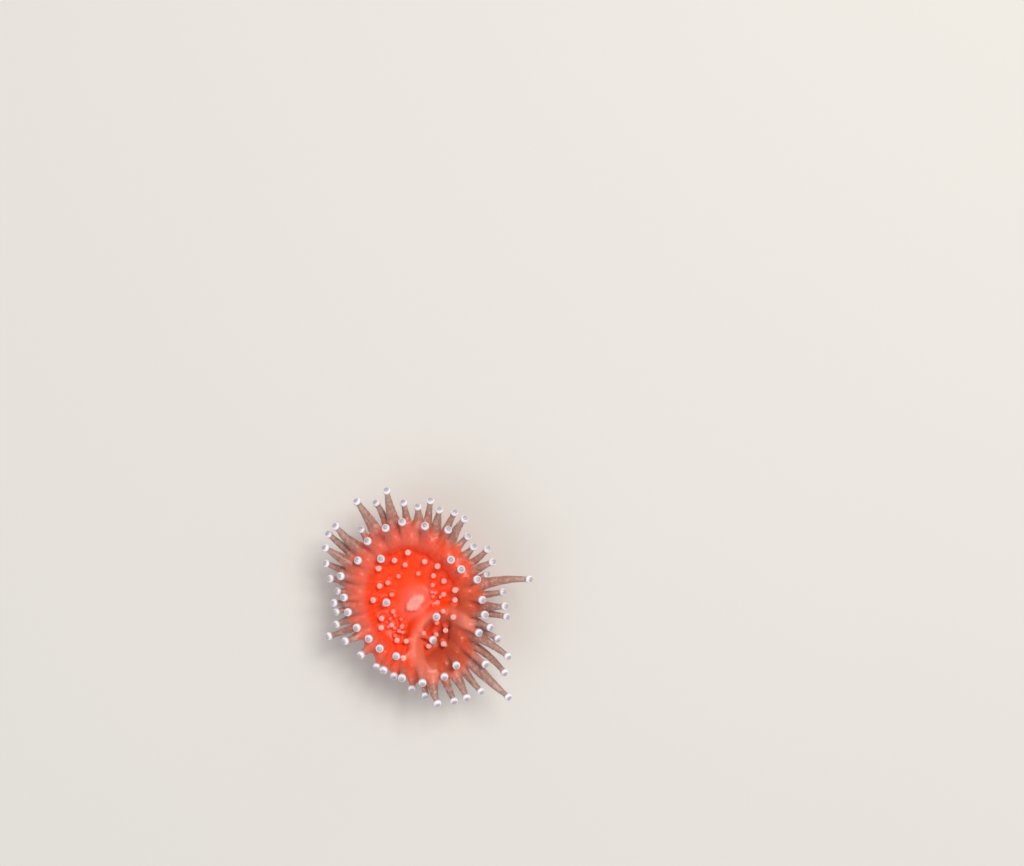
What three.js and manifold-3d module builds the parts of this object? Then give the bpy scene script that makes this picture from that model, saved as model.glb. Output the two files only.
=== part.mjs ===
// A strawberry anemone (club-tipped anemone), open, at life size. Millimetres, +Z up.
//
// The origin is the middle of the foot's flat underside, and +Z runs up the column to the mouth. The
// animal is first thought of as round and straight, and pose() then gives it its stance: the disc drawn
// out to an oval, with one side folded up into a second, smaller basin.

import * as THREE from "three";
import { mergeVertices } from "three/addons/utils/BufferGeometryUtils.js";
import Module from "manifold-3d";

const wasm = await Module();
wasm.setup();

const FULL_TURN = 2 * Math.PI;
const degrees = THREE.MathUtils.degToRad;

// Foot and column.
const FOOT_RADIUS = 6.4;
const FOOT_SPREAD = 1.6; // height over which the foot draws in to the column
const FOOT_HEIGHT = 1.2;
const WAIST_RADIUS = 4.7;
const COLUMN_TOP = 6.1;
const FLARE_POWER = 2.6; // how late the column opens out to the rim
const GAP = 0.12; // left between neighbouring pieces
const SEAT_GAP = 0.25; // left round the disc's slanting edge

// Rim and oral disc.
const RIM_RADIUS = 9.5;
const RIM_HEIGHT = 9.2;
const LIP = 0.7; // radius of the rounded lip
const DISH_RADIUS = RIM_RADIUS - LIP;
const DISH_DEPTH = 1.9;
const DISC_RADIUS = 7.8;
const DISC_SEAT_RADIUS = 6.3; // where the disc's slanting edge meets the column's top

// Mouth cone, oval, longer in proportion at the top, with a small pit between its lips.
const MOUTH_LONG = 2.15;
const MOUTH_SHORT = 1.55;
const MOUTH_AZIMUTH = degrees(36);
const MOUTH_RISE = 1.9;
const MOUTH_TOP_RATIO = 2.0; // length over width at the lips
// Its side and pit, bottom to top to middle, as pairs of shares of its half-width and of its rise.
const MOUTH_PROFILE = [
  [0, -0.16], [1.1, -0.16], [0.86, 0.24], [0.68, 0.5], [0.6, 0.81], [0.38, 1], [0.16, 0.9], [0, 0.84],
];

// Stance: the disc's oval, its pinch, and the fold that parts off the second basin.
const OVAL_LONG = 10.7;
const OVAL_SHORT = 8.6;
const OVAL_AZIMUTH = degrees(110);
const PINCH_AZIMUTH = degrees(-27);
const PINCH_SPREAD = degrees(15);
const PINCH_DEPTH = 0.15;
const OVAL_FROM = 3.4; // the column is round up to here
const OVAL_FULL = 8.0;
const BASIN_X = 4.8;
const BASIN_Y = -6.4;
const BASIN_DEPTH = 1.0;
const BASIN_SPREAD = 3.2;
const FOLD_FROM = 4.8; // below here the fold doesn't show
const FOLD_FULL = 8.2;
const FOLD_RADIUS = 4.9; // the fold is an arc about the second basin
const FOLD_RISE = 1.9;
const FOLD_WIDTH_IN = 0.9;
const FOLD_WIDTH_OUT = 1.2;
const FOLD_FADE = 0.5; // how much lower the fold is at the rim

// Tentacles of the rim: a low row that reaches out and a high row that stands up, turn about. From its
// root a knob lies out + share * reach outwards and lift + rise * reach up, each with some scatter. The
// centre line bends at bendOut and bendLift of the way, and swings a little to one side.
const RIM_TENTACLES = 48;
const FIRST_AZIMUTH = degrees(14);
const LOW = {
  root: 1.0, steps: 3, swing: 4, out: 0, share: 1, outScatter: 0.4,
  lift: 1.0, rise: 0.08, liftScatter: 0.7, bendOut: 0.5, bendLift: 0.75,
};
const HIGH = {
  root: 0.62, steps: 2, swing: 9, out: 0.7, share: 0.4, outScatter: 1.3,
  lift: 3.1, rise: 0, liftScatter: 0.8, bendOut: 0.25, bendLift: 0.55,
};
const BOW = 0.12; // sideways bow of a centre line, as a share of its way out
const NECK = 0.4;
const KNOB = 0.6;
const LOW_ANGLE = degrees(12); // where on the lip the low row stands
const HIGH_RADIUS = 8.25; // where on the dish's edge the high row stands
const ROOT_DEPTH = 0.7; // how far a root is sunk before the body is cut away
const TAPER = 0.95;
const CROWDING = 2.2; // how much thinner the roots are where the rim is pinched in

// How far the low row reaches past the rim: pairs of azimuth in degrees and reach.
const REACH = [
  [-172, 3.2], [-128, 2.0], [-108, 1.4], [-84, 3.6], [-68, 5.0], [-57, 5.3], [-45, 9.8], [-31, 8.6],
  [-18, 3.6], [-3, 5.0], [14, 9.9], [28, 4.2], [44, 3.2], [62, 5.5], [90, 4.3], [109, 6.8], [145, 6.0],
  [166, 4.0],
];

// Small tentacles of the disc, in radial rows.
const DISC_ROWS = 18;
const DISC_RINGS = [3.9, 5.0, 6.0, 6.7]; // even rows use the 1st and 3rd, odd rows the 2nd and 4th
const BUD_ROOT = 0.4;
const BUD_NECK = 0.26;
const BUD_KNOB = [0.36, 0.44]; // from the innermost ring to the outermost
const BUD_LENGTH = [0.7, 1.5];
const BUD_LEAN = [0.3, 0.5]; // outwards, as a share of the length
const BUD_DEPTH = 0.2;
const BUD_SCATTER = { turn: degrees(5), radius: 0.3, length: 0.15 };

// The few tall tentacles of the disc, as [azimuth in degrees, radius, length, lean]: two stand on the
// fold.
const TALL_BUDS = [
  [178, 4.8, 2.6, 0.1], [127, 7.0, 2.4, 0.75], [-107, 7.0, 2.6, 0.75], [-79, 4.25, 2.2, 0.1],
  [-26.6, 4.45, 1.8, 0.1],
];
const TALL_ROOT = 0.5;

// How far to step along the dish to find its slope: outwards, and round by this angle.
const STEP_OUT = 0.1;
const STEP_ROUND = 0.01;

// Facets.
const RING_SEGMENTS = 36;
const SIDE_STEPS = 3;
const LIP_STEPS = 3;
const DISH_STEPS = 7;
const CONE_SEGMENTS = 12;
const TENTACLE_SIDES = 6;
const KNOB_ANGLES = [degrees(-12), degrees(42)];
const BUD_SIDES = 5;

const UP = new THREE.Vector3(0, 0, 1);

// A number from -1 to 1 that scatters evenly over the whole numbers.
function scatter(index, step) {
  const turns = index * step;
  return 2 * (turns - Math.floor(turns)) - 1;
}

// Steps that never repeat, one for each thing that is scattered.
const GOLDEN = 0.61803399;
const SILVER = 0.41421356;
const BRONZE = 0.30277564;
const COPPER = 0.19258240;

// A bell curve, 1 at 0.
function bell(x) {
  return Math.exp(-x * x);
}

function flesh(colour, roughness = 0.45) {
  return new THREE.MeshStandardMaterial({ color: colour, roughness, metalness: 0 });
}

// ---- Shapes ----

// A closed body turned about Z from a profile of [radius, height] pairs, with its doubles merged.
function turned(profile, segments) {
  const points = profile.map(([radius, height]) => new THREE.Vector2(radius, height));
  const geometry = new THREE.LatheGeometry(points, segments);
  geometry.rotateX(Math.PI / 2);
  return bare(geometry);
}

// The same shape with positions only and each vertex shared by its faces.
function bare(geometry) {
  geometry.deleteAttribute("normal");
  geometry.deleteAttribute("uv");
  return mergeVertices(geometry, 1e-5);
}

// Moves every vertex of a geometry by a function of its place.
function reshaped(geometry, move) {
  const position = geometry.attributes.position;
  const point = new THREE.Vector3();
  for (let i = 0; i < position.count; i += 1) {
    const moved = move(point.fromBufferAttribute(position, i));
    position.setXYZ(i, moved.x, moved.y, moved.z);
  }
  return geometry;
}

function toSolid(geometry) {
  const vertProperties = new Float32Array(geometry.attributes.position.array);
  const triVerts = new Uint32Array(geometry.index.array);
  return new wasm.Manifold(new wasm.Mesh({ numProp: 3, vertProperties, triVerts }));
}

function fromSolid(solid) {
  const mesh = solid.getMesh();
  const geometry = new THREE.BufferGeometry();
  geometry.setAttribute("position", new THREE.BufferAttribute(mesh.vertProperties, 3));
  geometry.setIndex(new THREE.BufferAttribute(mesh.triVerts, 1));
  return geometry;
}

// What stands clear of the body: the largest piece left when the body is cut away.
function standingOn(solid, body) {
  const parts = solid.subtract(body).decompose();
  return parts.reduce((best, part) => (part.volume() > best.volume() ? part : best));
}

function piece(name, geometry, material) {
  geometry.computeVertexNormals();
  const mesh = new THREE.Mesh(geometry, material);
  mesh.name = name;
  return mesh;
}

// ---- The animal before its stance ----

// Radius of foot and column at a height: the waist, the foot's spread and the trumpet's flare.
function sideRadius(height) {
  const foot = (FOOT_RADIUS - WAIST_RADIUS) * bell(height / FOOT_SPREAD);
  const flare = (RIM_RADIUS - WAIST_RADIUS) * (height / (RIM_HEIGHT - LIP)) ** FLARE_POWER;
  return WAIST_RADIUS + foot + flare;
}

// Height of the disc's upper face, a dish that steepens towards the rim.
function dishHeight(radius) {
  return RIM_HEIGHT - DISH_DEPTH * (1 - (radius / DISH_RADIUS) ** 3);
}

// The side's profile between two heights, bottom to top.
function sideProfile(from, to, steps, grow = 0) {
  return Array.from({ length: steps + 1 }, (_, i) => {
    const height = THREE.MathUtils.lerp(from, to, i / steps);
    return [sideRadius(height) + grow, height];
  });
}

// The lip's round profile from the outside over the top, grown by a little where asked.
function lipProfile(steps, grow = 0) {
  const centreHeight = RIM_HEIGHT - LIP;
  return Array.from({ length: steps }, (_, i) => {
    const angle = (Math.PI / 2) * ((i + 1) / steps);
    const radius = LIP + grow;
    return [DISH_RADIUS + radius * Math.cos(angle), centreHeight + radius * Math.sin(angle)];
  });
}

// The dish's profile between two radii.
function dishProfile(from, to, steps, grow = 0) {
  return Array.from({ length: steps + 1 }, (_, i) => {
    const radius = THREE.MathUtils.lerp(from, to, i / steps);
    return [radius, dishHeight(radius) + grow];
  });
}

// ---- The stance ----

// Distance from the mouth's axis to the rim: an oval, pinched in at the fold.
function rimDistance(azimuth) {
  const turn = azimuth - OVAL_AZIMUTH;
  const oval = 1 / Math.hypot(Math.cos(turn) / OVAL_LONG, Math.sin(turn) / OVAL_SHORT);
  const away = Math.atan2(Math.sin(azimuth - PINCH_AZIMUTH), Math.cos(azimuth - PINCH_AZIMUTH));
  return oval * (1 - PINCH_DEPTH * bell(away / PINCH_SPREAD));
}

// How much the fold lifts the disc at a place: a ridge round the second basin, and the basin's floor.
function foldLift(x, y) {
  const distance = Math.hypot(x - BASIN_X, y - BASIN_Y);
  const width = distance > FOLD_RADIUS ? FOLD_WIDTH_OUT : FOLD_WIDTH_IN;
  const ridge = FOLD_RISE * bell((distance - FOLD_RADIUS) / width);
  const fade = 1 - FOLD_FADE * (Math.min(Math.hypot(x, y) / RIM_RADIUS, 1)) ** 4;
  return ridge * fade - BASIN_DEPTH * bell(distance / BASIN_SPREAD);
}

// Takes a point of the round, straight animal to its place in the stance.
function pose(point) {
  const oval = THREE.MathUtils.smoothstep(point.z, OVAL_FROM, OVAL_FULL);
  const fold = THREE.MathUtils.smoothstep(point.z, FOLD_FROM, FOLD_FULL);
  const azimuth = Math.atan2(point.y, point.x);
  const stretch = THREE.MathUtils.lerp(1, rimDistance(azimuth) / RIM_RADIUS, oval);
  const x = point.x * stretch;
  const y = point.y * stretch;
  return new THREE.Vector3(x, y, point.z + fold * foldLift(x, y));
}

// A point given by azimuth, radius and height on the round animal, in the stance.
function posed(azimuth, radius, height) {
  return pose(new THREE.Vector3(radius * Math.cos(azimuth), radius * Math.sin(azimuth), height));
}

// ---- Foot, column, rim, disc and mouth ----

function pedalDisc() {
  const top = FOOT_HEIGHT - GAP / 2;
  return turned([[0, 0], ...sideProfile(0, top, 2), [0, top]], RING_SEGMENTS);
}

function column() {
  const from = FOOT_HEIGHT + GAP / 2;
  const to = COLUMN_TOP - GAP / 2;
  const profile = [[0, from], ...sideProfile(from, to, SIDE_STEPS), [0, to]];
  return reshaped(turned(profile, RING_SEGMENTS), pose);
}

// The flared collar that carries the rim's tentacles, a closed ring round the disc.
function margin() {
  const from = COLUMN_TOP + GAP / 2;
  const inner = DISC_RADIUS + SEAT_GAP;
  const seat = DISC_SEAT_RADIUS + SEAT_GAP;
  const profile = [
    ...sideProfile(from, RIM_HEIGHT - LIP, SIDE_STEPS),
    ...lipProfile(LIP_STEPS),
    [inner, dishHeight(inner)],
    [seat, from],
  ];
  profile.push(profile[0]);
  return reshaped(turned(profile, RING_SEGMENTS), pose);
}

function discPlate() {
  const from = COLUMN_TOP + GAP / 2;
  const profile = [[0, from], [DISC_SEAT_RADIUS, from], ...dishProfile(DISC_RADIUS, 0, DISH_STEPS)];
  return reshaped(turned(profile, RING_SEGMENTS), pose);
}

// The whole upper body in one, grown by the gap, for cutting the roots that stand on it.
function upperBody() {
  const grow = GAP;
  const profile = [
    [0, COLUMN_TOP],
    ...sideProfile(COLUMN_TOP + GAP / 2, RIM_HEIGHT - LIP, SIDE_STEPS, grow),
    ...lipProfile(LIP_STEPS, grow),
    ...dishProfile(DISC_RADIUS, 0, DISH_STEPS, grow),
  ];
  return toSolid(reshaped(turned(profile, RING_SEGMENTS), pose));
}

// The mouth cone: an oval mound that draws in to long lips, with a pit sunk between them.
function mouthCone(body) {
  const floor = dishHeight(0);
  const profile = MOUTH_PROFILE.map(([width, rise]) => [width * MOUTH_SHORT, floor + rise * MOUTH_RISE]);
  const cone = reshaped(turned(profile, CONE_SEGMENTS), (point) => {
    const risen = THREE.MathUtils.smoothstep(point.z, floor, floor + MOUTH_RISE);
    point.x *= THREE.MathUtils.lerp(MOUTH_LONG / MOUTH_SHORT, MOUTH_TOP_RATIO, risen);
    return point;
  });
  cone.rotateZ(MOUTH_AZIMUTH);
  return fromSolid(standingOn(toSolid(reshaped(cone, pose)), body));
}

// ---- Tentacles ----

// A straight tentacle from its sunk root to its round knob, along Z from 0 to its length. Its few sides
// stand a little proud of the true radii, so that a section has the area of the round one.
function straightTentacle({ length, depth, root, neck, knob, steps, sides, knobAngles }) {
  const proud = Math.sqrt(FULL_TURN / sides / Math.sin(FULL_TURN / sides));
  const shaftEnd = length - Math.sqrt(knob * knob - neck * neck);
  const shaft = Array.from({ length: steps }, (_, i) => {
    const along = (i + 1) / steps;
    return [proud * (neck + (root - neck) * (1 - along) ** TAPER), along * shaftEnd];
  });
  const rings = knobAngles.map((angle) => {
    return [proud * knob * Math.cos(angle), length + knob * Math.sin(angle)];
  });
  const tip = [0, length + knob];
  return turned([[0, -depth], [proud * root, -depth], ...shaft, ...rings, tip], sides);
}

// Bends a straight body that lies along Z on to a curve. The side direction keeps it from twisting.
function bent(geometry, curve, side) {
  const length = curve.getLength();
  return reshaped(geometry, (point) => {
    const along = THREE.MathUtils.clamp(point.z / length, 0, 1);
    const tangent = curve.getTangentAt(along);
    const across = side.clone().addScaledVector(tangent, -side.dot(tangent)).normalize();
    const third = tangent.clone().cross(across);
    return curve
      .getPointAt(along)
      .addScaledVector(tangent, point.z - along * length)
      .addScaledVector(across, point.x)
      .addScaledVector(third, point.y);
  });
}

// Reach past the rim at an azimuth, eased between the pairs of REACH.
function reachAt(azimuth) {
  const turn = THREE.MathUtils.euclideanModulo(THREE.MathUtils.radToDeg(azimuth) - REACH[0][0], 360);
  for (let i = 0; i < REACH.length; i += 1) {
    const from = REACH[i][0] - REACH[0][0];
    const to = i + 1 < REACH.length ? REACH[i + 1][0] - REACH[0][0] : 360;
    if (turn <= to) {
      const along = (1 - Math.cos((Math.PI * (turn - from)) / (to - from))) / 2;
      return THREE.MathUtils.lerp(REACH[i][1], REACH[(i + 1) % REACH.length][1], along);
    }
  }
  return REACH[0][1];
}

function rimAzimuth(index) {
  return FIRST_AZIMUTH + (index * FULL_TURN) / RIM_TENTACLES;
}

// Where a rim tentacle stands: the low row on the lip's outside, the high row on the dish's edge.
function rimFoot(index) {
  const azimuth = rimAzimuth(index);
  if (index % 2) {
    return posed(azimuth, HIGH_RADIUS, dishHeight(HIGH_RADIUS));
  }
  const height = RIM_HEIGHT - LIP + LIP * Math.sin(LOW_ANGLE);
  return posed(azimuth, DISH_RADIUS + LIP * Math.cos(LOW_ANGLE), height);
}

// The centre line of a rim tentacle, from its foot to the middle of its knob.
function rimPath(index) {
  const row = index % 2 ? HIGH : LOW;
  const heading = rimAzimuth(index) + degrees(row.swing) * scatter(index, GOLDEN);
  const reach = reachAt(heading);
  const out = row.out + row.share * reach + row.outScatter * scatter(index, SILVER);
  const lift = row.lift + row.rise * reach + row.liftScatter * scatter(index, BRONZE);
  const outward = new THREE.Vector3(Math.cos(heading), Math.sin(heading), 0);
  const sideways = outward.clone().cross(UP);
  const foot = rimFoot(index);
  const bend = foot.clone().addScaledVector(outward, row.bendOut * out);
  bend.addScaledVector(UP, row.bendLift * lift).addScaledVector(sideways, BOW * out * scatter(index, COPPER));
  const tip = foot.clone().addScaledVector(outward, out).addScaledVector(UP, lift);
  return new THREE.QuadraticBezierCurve3(foot, bend, tip);
}

// A rim tentacle, cut clear of the body and of the neighbours that already stand.
function rimTentacle(index, body, standing) {
  const row = index % 2 ? HIGH : LOW;
  const curve = rimPath(index);
  const crowding = Math.min(1, rimDistance(rimAzimuth(index)) / RIM_RADIUS) ** CROWDING;
  const straight = straightTentacle({
    length: curve.getLength(),
    depth: ROOT_DEPTH,
    root: crowding * row.root,
    neck: NECK,
    knob: KNOB,
    steps: row.steps,
    sides: TENTACLE_SIDES,
    knobAngles: KNOB_ANGLES,
  });
  const side = curve.getTangentAt(0).cross(UP).normalize();
  const neighbours = [index - 1, (index + 1) % RIM_TENTACLES].map((i) => standing[i]).filter(Boolean);
  return standingOn(toSolid(bent(straight, curve, side)), neighbours.reduce((sum, one) => sum.add(one), body));
}

// A tentacle of the disc, standing on the dish and leaning outwards by a share of its length.
function discTentacle({ azimuth, radius, length, lean, root, neck, knob, knobAngles }) {
  const foot = posed(azimuth, radius, dishHeight(radius));
  const ahead = posed(azimuth, radius + STEP_OUT, dishHeight(radius + STEP_OUT)).sub(foot).normalize();
  const around = posed(azimuth + STEP_ROUND, radius, dishHeight(radius)).sub(foot).normalize();
  const way = ahead.clone().cross(around).addScaledVector(ahead, lean).normalize();
  const curve = new THREE.LineCurve3(foot, foot.clone().addScaledVector(way, length));
  const shape = { length, depth: BUD_DEPTH, root, neck, knob, steps: 1, sides: BUD_SIDES, knobAngles };
  return toSolid(bent(straightTentacle(shape), curve, around));
}

function bud(row, ring) {
  const share = ring / (DISC_RINGS.length - 1);
  const index = row * DISC_RINGS.length + ring;
  return discTentacle({
    azimuth: (row * FULL_TURN) / DISC_ROWS + BUD_SCATTER.turn * scatter(index, GOLDEN),
    radius: DISC_RINGS[ring] + BUD_SCATTER.radius * scatter(index, SILVER),
    length: THREE.MathUtils.lerp(...BUD_LENGTH, share) * (1 + BUD_SCATTER.length * scatter(index, BRONZE)),
    lean: THREE.MathUtils.lerp(...BUD_LEAN, share),
    root: BUD_ROOT,
    neck: BUD_NECK,
    knob: THREE.MathUtils.lerp(...BUD_KNOB, share),
    knobAngles: [0],
  });
}

function tallBud([azimuth, radius, length, lean]) {
  return discTentacle({
    azimuth: degrees(azimuth),
    radius,
    length,
    lean,
    root: TALL_ROOT,
    neck: BUD_NECK,
    knob: KNOB,
    knobAngles: KNOB_ANGLES,
  });
}

function oralDisc() {
  let disc = toSolid(discPlate());
  for (let row = 0; row < DISC_ROWS; row += 1) {
    for (const ring of row % 2 ? [1, 3] : [0, 2]) {
      disc = disc.add(bud(row, ring));
    }
  }
  for (const place of TALL_BUDS) {
    disc = disc.add(tallBud(place));
  }
  return fromSolid(disc);
}

// ---- The whole animal ----

const anemone = new THREE.Group();
const body = upperBody();
anemone.add(piece("pedal_disc", pedalDisc(), flesh("#d9694f", 0.5)));
anemone.add(piece("column", column(), flesh("#e06a50")));
anemone.add(piece("margin", margin(), flesh("#e07a68")));
anemone.add(piece("oral_disc", oralDisc(), flesh("#ff3d16", 0.35)));
anemone.add(piece("mouth_cone", mouthCone(body), flesh("#ff7060", 0.3)));
const standing = [];
for (let index = 0; index < RIM_TENTACLES; index += 1) {
  standing[index] = rimTentacle(index, body, standing);
  const row = index % 2 ? "high" : "low";
  const number = String(Math.floor(index / 2) + 1).padStart(2, "0");
  const name = `tentacle_${row}_${number}`;
  anemone.add(piece(name, fromSolid(standing[index]), flesh("#c9a8a4", 0.3)));
}

export default anemone;
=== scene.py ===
import math

import bpy
import numpy as np
from mathutils import Matrix


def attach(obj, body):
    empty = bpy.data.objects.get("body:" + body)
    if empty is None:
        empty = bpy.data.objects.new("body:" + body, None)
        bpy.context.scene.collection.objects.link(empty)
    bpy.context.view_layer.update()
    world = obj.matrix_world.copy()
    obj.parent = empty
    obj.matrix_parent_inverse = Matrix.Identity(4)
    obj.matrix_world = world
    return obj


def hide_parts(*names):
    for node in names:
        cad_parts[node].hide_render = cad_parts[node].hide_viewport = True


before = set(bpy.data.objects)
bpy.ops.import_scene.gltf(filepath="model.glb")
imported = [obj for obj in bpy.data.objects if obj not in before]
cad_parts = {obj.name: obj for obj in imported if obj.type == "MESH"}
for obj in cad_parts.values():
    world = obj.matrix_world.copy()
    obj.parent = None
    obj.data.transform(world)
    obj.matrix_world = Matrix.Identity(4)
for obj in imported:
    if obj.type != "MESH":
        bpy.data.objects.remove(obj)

# A strawberry anemone, also called a club-tipped anemone, open, at life size. The whole animal is one
# skin: the level surface of a distance field that is worked out on a grid with numpy. Lengths here are
# millimetres, and are turned to metres when a mesh, a light or the camera is made.

MM = 0.001
FULL_TURN = 2 * math.pi
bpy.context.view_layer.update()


# ---- Sizes, as the solids have them ----

FOOT_RADIUS = 6.4
FOOT_SPREAD = 1.6
WAIST_RADIUS = 4.7
FLARE_POWER = 2.6
RIM_RADIUS = 9.5
RIM_HEIGHT = 9.2
LIP = 0.7
DISH_RADIUS = RIM_RADIUS - LIP
DISH_DEPTH = 1.9

MOUTH_LONG = 2.15
MOUTH_SHORT = 1.55
MOUTH_AZIMUTH = math.radians(36)
MOUTH_RISE = 1.9
MOUTH_LIP = 0.36
MOUTH_TOP_RATIO = 2.0
MOUTH_SIDE = ((1.05, 0.05), (0.86, 0.45), (0.68, 0.95))  # share of its radius, height above the dish
MOUTH_ROOT = (1.15, 1.0)  # share of its radius, depth below the dish
LIP_OUTSIDE, LIP_CREST = 0.6, 0.4  # shares of its radius
LIP_CREST_RISE = 0.04
LIP_FOLDS = 12
LIP_CRIMP = 0.07
LIP_GROOVE = 0.3  # depth of the groove between the lips
LIP_GROOVE_WIDTH = 0.28
LIP_GROOVE_LENGTH = 0.5  # before it is drawn out along the mouth

OVAL_LONG = 10.7
OVAL_SHORT = 8.6
OVAL_AZIMUTH = math.radians(110)
PINCH_AZIMUTH = math.radians(-27)
PINCH_SPREAD = math.radians(15)
PINCH_DEPTH = 0.15
OVAL_FROM, OVAL_FULL = 3.4, 8.0
BASIN_X, BASIN_Y = 4.8, -6.4
BASIN_DEPTH = 1.0
BASIN_SPREAD = 3.2
FOLD_FROM, FOLD_FULL = 4.8, 8.2
FOLD_RADIUS = 4.9
FOLD_RISE = 1.9
FOLD_WIDTH_IN = 0.9
FOLD_WIDTH_OUT = 1.2
FOLD_FADE = 0.5

RIM_TENTACLES = 48
FIRST_AZIMUTH = math.radians(14)
LOW = dict(
    root=1.0, swing=4, out=0, share=1, out_scatter=0.4,
    lift=1.0, rise=0.08, lift_scatter=0.7, bend_out=0.5, bend_lift=0.75,
)
HIGH = dict(
    root=0.62, swing=9, out=0.7, share=0.4, out_scatter=1.3,
    lift=3.1, rise=0, lift_scatter=0.8, bend_out=0.25, bend_lift=0.55,
)
BOW = 0.12
NECK = 0.4
KNOB = 0.6
LOW_ANGLE = math.radians(12)
HIGH_RADIUS = 8.25
ROOT_DEPTH = 0.7
TAPER = 0.95
CROWDING = 2.2
REACH = np.array([
    (-172, 3.2), (-128, 2.0), (-108, 1.4), (-84, 3.6), (-68, 5.0), (-57, 5.3), (-45, 9.8), (-31, 8.6),
    (-18, 3.6), (-3, 5.0), (14, 9.9), (28, 4.2), (44, 3.2), (62, 5.5), (90, 4.3), (109, 6.8),
    (145, 6.0), (166, 4.0),
])

DISC_ROWS = 18
DISC_RINGS = (3.9, 5.0, 6.0, 6.7)
BUD_ROOT = 0.4
BUD_NECK = 0.26
BUD_KNOB = (0.36, 0.44)
BUD_LENGTH = (0.7, 1.5)
BUD_LEAN = (0.3, 0.5)
BUD_SCATTER = dict(turn=math.radians(5), radius=0.3, length=0.15)
TALL_BUDS = (
    (178, 4.8, 2.6, 0.1), (127, 7.0, 2.4, 0.75), (-107, 7.0, 2.6, 0.75), (-79, 4.25, 2.2, 0.1),
    (-26.6, 4.45, 1.8, 0.1),
)
TALL_ROOT = 0.5
SLIM_NECK = 0.8  # a disc tentacle's neck is at most this share of its knob
DISC_ROOT_DEPTH = 0.3
STEP_OUT = 0.1  # to feel which way the dish slopes, in millimetres
STEP_ROUND = 0.01  # and in radians

# Tiny knobs that stand in two clusters, beside the mouth and where the fold begins, as [azimuth,
# radius]. Only the skin has them.
TINY_BUDS = (
    (-146, 4.0), (-130, 3.4), (-129, 5.2), (-120, 5.0), (-122, 6.0), (-138, 5.9), (-110, 4.7), (-147, 4.9),
    (11, 4.1), (17, 2.9), (25, 3.6), (32, 3.0), (-11, 3.0),
)
TINY_ROOT = 0.24
TINY_KNOB = 0.27
TINY_LENGTH = 0.65
TINY_LENGTH_SCATTER = 0.3
TINY_LEAN = 0.3

# Tentacles that fill the gaps below the rim's low row, as [azimuth, way out]. Only the skin has them.
UNDER_TENTACLES = (
    (-158.5, 5.4), (-83.5, 3.4), (-68.5, 5.2), (-53.5, 6.2), (-38.5, 8.0), (-23.5, 5.4), (-8.5, 5.2),
    (6.5, 4.6), (21.5, 3.0), (36.5, 4.8), (51.5, 3.6), (66.5, 5.2), (81.5, 5.4), (96.5, 4.6),
    (111.5, 5.4), (126.5, 3.2), (141.5, 6.6), (156.5, 5.2), (171.5, 2.8), (-173.5, 3.2),
)
UNDER = dict(root=0.72, lift=0.2, lift_scatter=0.6, bend_out=0.5, bend_lift=0.75)
UNDER_ANGLE = math.radians(-25)  # where on the lip they stand, up from its outermost line

# Steps, each an irrational share of a turn, that scatter what is numbered in a row.
GOLDEN = 0.61803399
SILVER = 0.41421356
BRONZE = 0.30277564
COPPER = 0.19258240

# ---- How the skin is finer than the solids, and where its colours change ----

# Where painted shade darkens the crease between the fold and the mouth.
CREASE_AT = 1.5  # from the fold's crest towards the mouth
CREASE_WIDTH = 0.5
CREASE_PLACE = (-0.6, -3.4)
CREASE_FADE = (2.5, 4.5)
RIDGE_PALE_WIDTH = (1.5, 0.9)  # how far the fold's paleness spreads, into the basin and out of it
MOUTH_PALE = (-1.8, 0.5)  # from outside the mouth cone's foot to inside it
JELLY_FADE = (0.5, 3.0)  # from the body, where flesh gives way to clear jelly
UPRIGHT_SHARE = 0.55  # the upright tentacles keep the body's colour further
KNOB_EDGE = 0.08  # how wide the border is between a shaft's colours and its knob's
FEELER_EDGE = (-0.25, 0.6)  # how much nearer than the body a tentacle is, where its own marks take over
RIDGE_EDGE = (0.0, 0.2)  # shares of the ridge's own rise
MOUTH_FOOT = 0.45  # how pale the foot of the mouth cone is, as a share of its top
MOUTH_CLIMB = (0.3, 1.5)  # heights above the dish between which it pales
CROWN_UP = (0, 0, 1.2)  # how far a knob's crown, with its painted highlight ring, turns up from the way that its tentacle points

GRID_STEP = 0.176
COARSE_STEP = 0.3  # up the foot and the column, where nothing fine stands
COARSE_TOP = 5.4
MARGIN = 0.6  # of empty grid round the animal
FREE_BLEND = 0.04  # width of the fillets far from the body
KNOB_BLEND = 0.05
DISC_BLEND = 0.07
RIM_BLEND = 0.45  # wide enough to join neighbouring roots by a web
DISC_BLEND_REACH = 0.6
MOUTH_BLEND = 1.1
RIM_BLEND_REACH = 1.8
RIM_BLEND_ZONE = (5.8, 9.0)  # radii between which the fillets widen
FULLNESS = 0.2  # how much thicker than the solids a rim tentacle is at its root
ROOT_FLARE = 0.2
ROOT_FLARE_LENGTH = 0.7
RIPPLE = 0.035
RIPPLE_LENGTH = 0.85
RIPPLE_START = (0.1, 0.3)  # shares of the way along
PATH_STEPS = 16
BOX_REACH = 2.2  # how far round a tentacle its distance is worked out
GROOVES = 24
GROOVE_DEPTH = 0.022
GROOVES_BEGIN = (0.25, 0.36)  # shares of the profile
GROOVES_END = (0.8, 0.92)
WRINKLE_DEPTH = 0.05
WRINKLE_LENGTH = 1.15
WRINKLES_BEGIN = (0.3, 1.2)  # heights
WRINKLES_END = (4.5, 7.0)
FOOT_WANDER = 0.1
WANDER_BEGINS = (0, 0.5)
WANDER_ENDS = (1.0, 3.0)
FOOT_TUCK = 0.5  # how far the flesh is drawn below the floor, to be cut off there with an even edge


def bell(x):
    """A bell curve, 1 at 0."""
    return np.exp(-np.square(x))


def ease(x, start, end):
    """0 below start, 1 above end, and a smooth step between."""
    t = np.clip((x - start) / (end - start), 0, 1)
    return t * t * (3 - 2 * t)


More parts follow.
